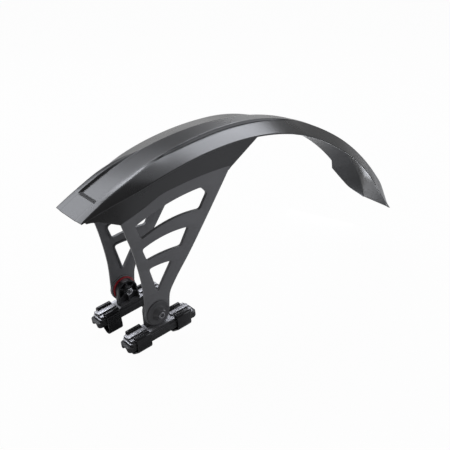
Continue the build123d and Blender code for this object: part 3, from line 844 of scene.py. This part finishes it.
def strap_mesh(tree, material, sign, middle):
    """One strap, hooked over both lips of the deck and hanging lower towards the wheel."""
    turns = [math.pi * step / HOOK_STEPS for step in range(HOOK_STEPS + 1)]
    arch = [(HOOK_SIDE * math.cos(turn), HOOK_SIDE * math.sin(turn)) for turn in turns]
    path = [(LIP_MIDDLE - HOOK_SIDE, LIP_TOP - HOOK_LEG)]
    path += [(LIP_MIDDLE + y, LIP_TOP + z) for y, z in reversed(arch)]
    path += [(LIP_MIDDLE + HOOK_SIDE, STRAP_OUTER_LOW), (-LIP_MIDDLE - HOOK_SIDE, STRAP_INNER_LOW)]
    path += [(-LIP_MIDDLE + y, LIP_TOP + z) for y, z in reversed(arch)]
    path += [(HOOK_SIDE - LIP_MIDDLE, LIP_TOP - HOOK_LEG)]
    curve = drawn("strap", "3D", [path], False)
    holder = bpy.data.objects.new("strap", curve)
    modifier = holder.modifiers.new("strap", "NODES")
    modifier.node_group = tree
    for item in tree.interface.items_tree:
        if item.name == "Material":
            modifier[item.identifier] = material
    mesh = evaluated(holder)
    bpy.data.curves.remove(curve)
    for vertex in mesh.vertices:
        out, up, along = vertex.co
        vertex.co = tipped(sign, middle + along, out, up)
    # The mirrored side comes out with its faces turned inwards.
    if sign < 0:
        mesh.flip_normals()
    return mesh


def joined(name, meshes):
    """One piece out of several meshes."""
    shell = bmesh.new()
    for mesh in meshes:
        shell.from_mesh(mesh)
        bpy.data.meshes.remove(mesh)
    whole = bpy.data.meshes.new(name)
    shell.to_mesh(whole)
    shell.free()
    whole.shade_smooth()
    whole.set_sharp_from_angle(angle=SHARP_TURN)
    piece = bpy.data.objects.new(name, whole)
    bpy.context.scene.collection.objects.link(piece)
    return piece


def dress(piece, material, *nodes):
    """Gives a piece its finish and hands it to the frame in place of its solids."""
    piece.data.materials.clear()
    piece.data.materials.append(material)
    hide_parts(*nodes)
    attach(piece, body_of(nodes[0]))
    slot_of(nodes[0])


class GuardLooks(bpy.types.PropertyGroup):
    round_edge: bpy.props.FloatProperty(
        name="Edge round", description="Round along the guard's moulded edges", default=0.45 * MM,
        subtype="DISTANCE", unit="LENGTH")
    colour: bpy.props.FloatVectorProperty(
        name="Colour", description="Colour of the blade's plastic", default=(0.013, 0.013, 0.014),
        size=3, subtype="COLOR", min=0.0, max=1.0)
    # Painted light: the legs share the blade's plastic, and their lighter colour stands in for the light on their
    # upright plates.
    leg_lit_colour: bpy.props.FloatVectorProperty(
        name="Leg colour", description="Colour of the duller plastic of the legs",
        default=(0.125, 0.125, 0.130), size=3, subtype="COLOR", min=0.0, max=1.0)


class HardwareLooks(bpy.types.PropertyGroup):
    round_edge: bpy.props.FloatProperty(
        name="Edge round", description="Round along the edges of the pivots and clamps", default=0.3 * MM,
        subtype="DISTANCE", unit="LENGTH")
    shoe_colour: bpy.props.FloatVectorProperty(
        name="Shoe colour", description="Colour of the clamp shoes", default=(0.022, 0.022, 0.024),
        size=3, subtype="COLOR", min=0.0, max=1.0)
    # The deck colour is a painted sheen: a lighter colour for the shoes' up-facing tops, standing in for the light
    # on them.
    deck_sheen_colour: bpy.props.FloatVectorProperty(
        name="Deck colour", description="Colour of the satin tops of the shoes", default=(0.50, 0.50, 0.52),
        size=3, subtype="COLOR", min=0.0, max=1.0)
    ring_colour: bpy.props.FloatVectorProperty(
        name="Ring colour", description="Colour of the friction rings", default=(0.36, 0.012, 0.022),
        size=3, subtype="COLOR", min=0.0, max=1.0)


class MUDGUARD_OT_guard(bpy.types.Operator):
    """Blade, side walls and legs in one satin moulding"""

    bl_idname = "mudguard.guard"
    bl_label = "Guard"

    def execute(self, context):
        looks = context.scene.mudguard_guard
        round_size = looks.round_edge / MM
        skins = [blade_skin(round_size), *(side_skin(sign, round_size) for sign in SIDES.values())]
        finish = moulded_plastic("guard_plastic", looks.colour, **GUARD_SURFACE)
        dress(joined("guard_finish", skins), finish, "guard")
        # The legs get a lit copy of the blade's plastic: their lighter colour is painted light.
        finish = moulded_plastic("leg_plastic_painted_light", looks.leg_lit_colour, **LEG_SURFACE)
        for side, sign in SIDES.items():
            dress(joined(side + "_leg_finish", leg_skins(sign, round_size)), finish, side + "_leg")
        return {"FINISHED"}


class MUDGUARD_OT_pivots(bpy.types.Operator):
    """Caps, bolts, nuts and friction rings"""

    bl_idname = "mudguard.pivots"
    bl_label = "Pivots"

    def execute(self, context):
        looks = context.scene.mudguard_hardware
        finishes = {
            "cap": moulded_plastic("cap_plastic", CAP_COLOUR, **CAP_SURFACE),
            "bolt": steel("bolt_steel", BOLT_COLOUR, BOLT_ROUGH),
            "nut": steel("nut_steel", NUT_COLOUR, NUT_ROUGH),
            "ring": moulded_plastic("ring_plastic", looks.ring_colour, **RING_SURFACE),
        }
        for side in SIDES:
            for kind, finish in finishes.items():
                node = side + "_" + kind
                dress(joined(node + "_finish", [eased_copy(node, looks.round_edge)]), finish, node)
        return {"FINISHED"}


class MUDGUARD_OT_clamps(bpy.types.Operator):
    """Clamp shoes, pads and straps"""

    bl_idname = "mudguard.clamps"
    bl_label = "Clamps"

    def execute(self, context):
        looks = context.scene.mudguard_hardware
        # The shoes' plastic carries a painted sheen on its up-facing decks.
        shoe = plastic_with_painted_top_sheen("shoe_plastic", looks.shoe_colour, looks.deck_sheen_colour, **SHOE_SURFACE)
        pad = rubber("pad_rubber", PAD_COLOUR, **PAD_SURFACE)
        strap = rubber("strap_rubber", STRAP_COLOUR, **STRAP_SURFACE)
        tree = strap_tree()
        ease = looks.round_edge
        for side, sign in SIDES.items():
            meshes = [eased_copy(side + "_shoe", ease), deck_table(sign, TABLE_EASE * ease / MM)]
            dress(joined(side + "_shoe_finish", meshes), shoe, side + "_shoe")
            meshes = [eased_copy(side + "_pad", PAD_EASE * ease, PAD_EASE_STEPS)]
            dress(joined(side + "_pad_finish", meshes), pad, side + "_pad")
            for place, end in ENDS.items():
                node = side + "_" + place + "_strap"
                meshes = [strap_mesh(tree, strap, sign, RAIL_X + end * STRAP_OFFSET)]
                dress(joined(node + "_finish", meshes), strap, node)
        return {"FINISHED"}


class MUDGUARD_OT_stage(bpy.types.Operator):
    """Floor, lamps, sky and camera"""

    bl_idname = "mudguard.stage"
    bl_label = "Stage"

    def execute(self, context):
        scene = context.scene
        scene.view_settings.view_transform = "Standard"
        self.floor(scene)
        self.sky(scene)
        for lamp in LAMPS:
            self.lamp(scene, *lamp)
        data = bpy.data.cameras.new("photo_camera")
        data.lens = CAMERA_LENS
        camera = bpy.data.objects.new("photo_camera", data)
        scene.collection.objects.link(camera)
        camera.location = Vector((PIVOT.x, 0.0, PIVOT.z)) + CAMERA_FROM_PIVOT
        flat = math.cos(CAMERA_RISE)
        back = Vector((math.sin(CAMERA_TURN) * flat, -math.cos(CAMERA_TURN) * flat, math.sin(CAMERA_RISE)))
        camera.rotation_mode = "QUATERNION"
        camera.rotation_quaternion = (-back).to_track_quat("-Z", "Y")
        scene.camera = camera
        return {"FINISHED"}

    def floor(self, scene):
        """White to the camera, and light only on the part's far side where mirrored."""
        mesh = bpy.data.meshes.new("floor")
        low = CAD_BOX[0].z - FLOOR_GAP
        corners = [(x * FLOOR_REACH, y * FLOOR_REACH, low) for x, y in ((-1, -1), (1, -1), (1, 1), (-1, 1))]
        mesh.from_pydata(corners, [], [(0, 1, 2, 3)])
        floor = bpy.data.objects.new("floor", mesh)
        scene.collection.objects.link(floor)
        paper = Finish(bpy.data.materials.new("floor_paper"))
        across = paper.add("ShaderNodeSeparateXYZ", None, {0: paper.place()}, out="Y")
        lit = paper.ranged(across, *FLOOR_LIT)
        away = paper.add("ShaderNodeVectorMath", {"operation": "LENGTH"}, {0: paper.place()}, out="Value")
        near = paper.ranged(away, FLOOR_NEAR, FLOOR_FAR, 1.0, FLOOR_FAR_SHARE)
        seen = FLOOR_SEEN * paper.seen_by("Is Camera Ray") + lit * near * paper.seen_by("Is Glossy Ray")
        matt = paper.add("ShaderNodeBsdfDiffuse", None, {"Color": FLOOR_COLOUR})
        glow = paper.add("ShaderNodeEmission", None, {"Color": WHITE, "Strength": 1.0})
        mixed = paper.add("ShaderNodeMixShader", None, {0: seen, 1: matt, 2: glow})
        mesh.materials.append(paper.close(mixed))

    def sky(self, scene):
        """White to the camera, dim to what it lights, and darker in front than behind where mirrored."""
        sky = Finish(bpy.data.worlds.new("studio"), "ShaderNodeOutputWorld")
        way = sky.add("ShaderNodeTexCoord", out="Generated")
        behind = sky.towards(way, SKY_BRIGHT_WAY)
        mirrored = sky.ranged(behind, -SKY_SPREAD, SKY_SPREAD, SKY_FRONT, SKY_BEHIND)
        mirrored += SKY_BACKDROP_LIGHT * sky.ranged(sky.towards(way, SKY_BACKDROP_WAY), *SKY_BACKDROP)
        glossy = sky.seen_by("Is Glossy Ray")
        level = glossy * mirrored + (1.0 - glossy) * SKY_LIGHT
        dim = sky.add("ShaderNodeBackground", None, {"Color": WHITE, "Strength": level})
        white = sky.add("ShaderNodeBackground", None, {"Color": WHITE, "Strength": 1.0})
        mixed = sky.add("ShaderNodeMixShader", None, {0: sky.seen_by("Is Camera Ray"), 1: dim, 2: white})
        scene.world = sky.close(mixed)

    def lamp(self, scene, name, turn, rise, reach, lean, width, height, power):
        """A soft lamp that faces the part and that the camera doesn't see."""
        data = bpy.data.lights.new(name, "AREA")
        data.shape = "RECTANGLE"
        data.size = width
        data.size_y = height
        data.energy = power
        data.color = LAMP_COLOUR
        lamp = bpy.data.objects.new(name, data)
        scene.collection.objects.link(lamp)
        turn, rise = math.radians(turn), math.radians(rise)
        way = Vector((math.cos(rise) * math.cos(turn), math.cos(rise) * math.sin(turn), math.sin(rise)))
        lamp.location = LAMP_AIM + way * reach
        lamp.visible_camera = False
        lamp.rotation_mode = "QUATERNION"
        leaned = Quaternion((0.0, 0.0, 1.0), math.radians(lean))
        lamp.rotation_quaternion = (-way).to_track_quat("-Z", "Y") @ leaned


class MUDGUARD_PT_panel(bpy.types.Panel):
    bl_idname = "MUDGUARD_PT_panel"
    bl_label = "Mudguard"
    bl_space_type = "VIEW_3D"
    bl_region_type = "UI"
    bl_category = "Mudguard"

    def draw(self, context):
        layout = self.layout
        for looks in (context.scene.mudguard_guard, context.scene.mudguard_hardware):
            for name in looks.__annotations__:
                layout.prop(looks, name)
        for operator in OPERATORS:
            layout.operator(operator.bl_idname)


OPERATORS = (MUDGUARD_OT_guard, MUDGUARD_OT_pivots, MUDGUARD_OT_clamps, MUDGUARD_OT_stage)
CLASSES = (GuardLooks, HardwareLooks, *OPERATORS, MUDGUARD_PT_panel)


def register():
    for cls in CLASSES:
        bpy.utils.register_class(cls)
    bpy.types.Scene.mudguard_guard = bpy.props.PointerProperty(type=GuardLooks)
    bpy.types.Scene.mudguard_hardware = bpy.props.PointerProperty(type=HardwareLooks)


def unregister():
    del bpy.types.Scene.mudguard_hardware
    del bpy.types.Scene.mudguard_guard
    for cls in reversed(CLASSES):
        bpy.utils.unregister_class(cls)


def main():
    register()
    bpy.ops.mudguard.guard()
    bpy.ops.mudguard.pivots()
    bpy.ops.mudguard.clamps()
    bpy.ops.mudguard.stage()


if __name__ == "__main__":
    main()
